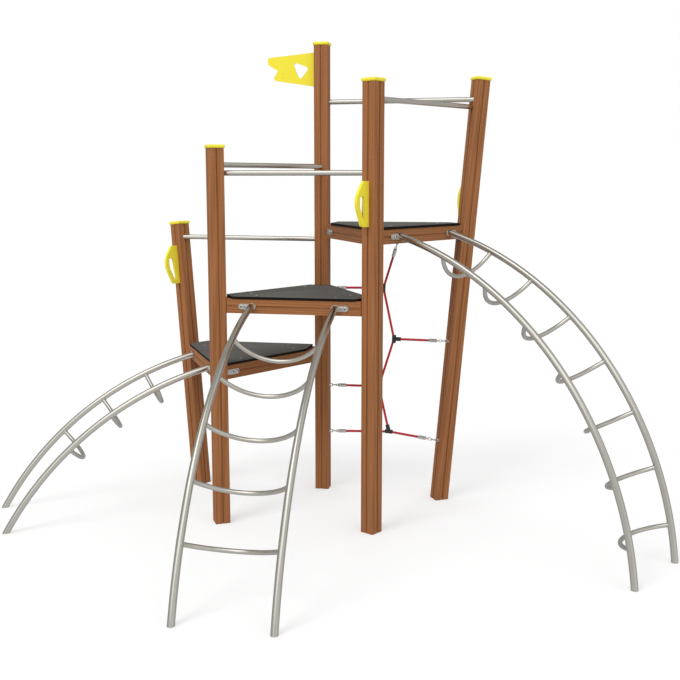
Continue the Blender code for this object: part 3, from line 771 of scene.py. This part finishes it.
def strands(bm, start, end, phase):
    """Six strands round a core between two points."""
    way = (end - start).normalized()
    side = way.orthogonal().normalized()
    other = way.cross(side)
    length = (end - start).length
    steps = int(length / ROPE_PITCH * 14)
    lay_r = ROPE_R - STRAND_R
    slope = 2 * pi * lay_r / ROPE_PITCH
    for s in range(6):
        rows = []
        for k in range(steps + 1):
            t = phase + 2 * pi * (s / 6 + length * k / steps / ROPE_PITCH)
            arm = side * cos(t) + other * sin(t)
            centre = start + way * (length * k / steps) + arm * lay_r
            turn = side * -sin(t) + other * cos(t)
            run = (way + turn * slope).normalized()
            up = (arm - run * arm.dot(run)).normalized()
            rows.append(ring(bm, centre, up, run.cross(up), STRAND_R, 8))
        skin(bm, rows)
    lathe(bm, [(0, 0), (CORE_R, 0), (CORE_R, length), (0, length)], 8, upright(start, way))


ROPES = {key: (rope_start(spot, normal, KNOTS[knot], count, link_long), knot)
         for key, (spot, normal, knot, count, link_long) in ENDS.items()}
spots = [ROPES.pop("top")[0], *KNOTS.values()]
bm = bmesh.new()
for number, (start, end) in enumerate(zip(spots, spots[1:])):
    strands(bm, start, end, number * 0.7)
for start, knot in ROPES.values():
    strands(bm, start, KNOTS[knot], 0.3)
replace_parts(piece("rope_lay", bm, [ROPE], smooth=60), "net_rope")


# Moulded crossings
TEE_R = 0.0145
TEE_HALF = 0.028
TEE_REACH = 0.050
TEE_SOFT = 0.0025


def sleeve(bm, start, way, length):
    """A moulded tube with soft rims round a rope."""
    near = [(0.0, 0.0), (TEE_R - TEE_SOFT, 0.0), (TEE_R - 0.0007, 0.0007), (TEE_R, TEE_SOFT)]
    far = [(r, length - z) for r, z in reversed(near)]
    lathe(bm, near + far, 24, upright(start, way))


for number, (key, knot) in enumerate(KNOTS.items()):
    up = (spots[number] - knot).normalized()
    sides = [(start - knot).normalized() for start, held in ROPES.values() if held == key]
    if key == "d":
        run, branch = (sides[1] - sides[0]).normalized(), up
    else:
        run, branch = (up + (knot - spots[number + 2]).normalized()).normalized(), sides[0]
    bm = bmesh.new()
    sleeve(bm, knot - run * TEE_HALF, run, TEE_HALF * 2)
    sleeve(bm, knot, branch, TEE_REACH)
    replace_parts(piece("crossing_tee_" + key, bm, [BLACK]), "net_crossing_" + key)


# Floor and light
# the floor's glow is for the camera alone, and reflections see through the floor
FLOOR_GLOW = 0.46
AMBIENT = 0.745


def floor_material():
    t = Tree("pale_floor")
    base = t.place()
    cloud = t.noise(base, 2.0, 2, 0.5)
    colour = t.mix(cloud, (0.525, 0.525, 0.525), (0.535, 0.535, 0.535))
    t.link(colour, t.shader.inputs["Base Color"])
    t.even(Roughness=0.9, Specular_IOR_Level=0.0)
    t.even(Emission_Color=(1.0, 1.0, 1.0, 1.0), Emission_Strength=FLOOR_GLOW)
    path = t.add("ShaderNodeLightPath")
    soft = t.add("ShaderNodeBsdfDiffuse")
    soft.inputs["Color"].default_value = (0.52, 0.515, 0.505, 1.0)
    clear = t.add("ShaderNodeBsdfTransparent")
    first = t.add("ShaderNodeMixShader")
    t.link(path.outputs["Is Glossy Ray"], first.inputs["Fac"])
    t.link(soft.outputs["BSDF"], first.inputs[1])
    t.link(clear.outputs["BSDF"], first.inputs[2])
    second = t.add("ShaderNodeMixShader")
    t.link(path.outputs["Is Camera Ray"], second.inputs["Fac"])
    t.link(first.outputs["Shader"], second.inputs[1])
    t.link(t.shader.outputs["BSDF"], second.inputs[2])
    t.link(second.outputs["Shader"], t.nodes["Material Output"].inputs["Surface"])
    return t.mat


bm = bmesh.new()
bmesh.ops.create_circle(bm, cap_ends=True, segments=96, radius=60.0)
mesh = bpy.data.meshes.new("floor")
bm.to_mesh(mesh)
bm.free()
mesh.materials.append(floor_material())
floor = bpy.data.objects.new("floor", mesh)
floor.location.z = -0.0005
scene.collection.objects.link(floor)

# the backdrop is white to the camera and an even dome to the surfaces; reflections see a
# grey studio all round, lighter in front, with broad soft lights
STUDIO_GREY = 0.37
# turn and rise of each light, the wide and the narrow angle between which it fades, and its gain
SOFT_LIGHTS = (
    (-70, -10, 120, 60, 0.18),
    (0, -90, 93, 69, 0.08),
    (-95, 48, 42, 12, 0.20),
    (-108, 24, 24, 4, 0.70),
    (-74, 46, 22, 5, 0.80),
    (-124, 62, 22, 7, 1.50),
    (12, 38, 34, 8, 0.22),
    (-38, 2, 42, 12, 0.17),
)
world = bpy.data.worlds.new("studio")
scene.world = world
world.use_nodes = True
wn = world.node_tree.nodes
wl = world.node_tree.links


def backdrop(strength):
    node = wn.new("ShaderNodeBackground")
    node.inputs["Color"].default_value = (1.0, 1.0, 1.0, 1.0)
    node.inputs["Strength"].default_value = strength
    return node


def toward(turn, rise, wide, narrow, gain):
    """Soft light from a direction, given in degrees, that fades from a narrow to a wide angle."""
    turn, rise = radians(turn), radians(rise)
    share = wn.new("ShaderNodeVectorMath")
    share.operation = "DOT_PRODUCT"
    share.inputs[1].default_value = (cos(turn) * cos(rise), sin(turn) * cos(rise), sin(rise))
    wl.new(coords.outputs["Generated"], share.inputs[0])
    span = wn.new("ShaderNodeMapRange")
    span.interpolation_type = "SMOOTHSTEP"
    span.inputs["From Min"].default_value = cos(radians(wide))
    span.inputs["From Max"].default_value = cos(radians(narrow))
    span.inputs["To Max"].default_value = gain
    wl.new(share.outputs["Value"], span.inputs["Value"])
    return span.outputs["Result"]


def joined(switch, a, b):
    node = wn.new("ShaderNodeMixShader")
    wl.new(switch, node.inputs["Fac"])
    wl.new(a.outputs[0], node.inputs[1])
    wl.new(b.outputs[0], node.inputs[2])
    return node


coords = wn.new("ShaderNodeTexCoord")
path = wn.new("ShaderNodeLightPath")
level = wn.new("ShaderNodeValue").outputs["Value"]
level.default_value = STUDIO_GREY
for light in SOFT_LIGHTS:
    total = wn.new("ShaderNodeMath")
    total.operation = "ADD"
    wl.new(toward(*light), total.inputs[0])
    wl.new(level, total.inputs[1])
    level = total.outputs["Value"]
mirrored = backdrop(1.0)
wl.new(level, mirrored.inputs["Strength"])
lit = joined(path.outputs["Is Glossy Ray"], backdrop(AMBIENT), mirrored)
seen = joined(path.outputs["Is Camera Ray"], lit, backdrop(1.0))
wl.new(seen.outputs["Shader"], wn["World Output"].inputs["Surface"])


def sun(name, come_from, strength, spread):
    """Even light from a direction, not shown by reflections; spread in degrees."""
    data = bpy.data.lights.new(name, "SUN")
    data.energy = strength
    data.angle = radians(spread)
    obj = bpy.data.objects.new(name, data)
    obj.matrix_world = upright((0, 0, 6), Vector(come_from))
    obj.visible_glossy = False
    scene.collection.objects.link(obj)


sun("key", (-4.5, -7.0, 7.5), 1.26, 28)
sun("fill", (5.0, -5.0, 5.0), 0.50, 60)
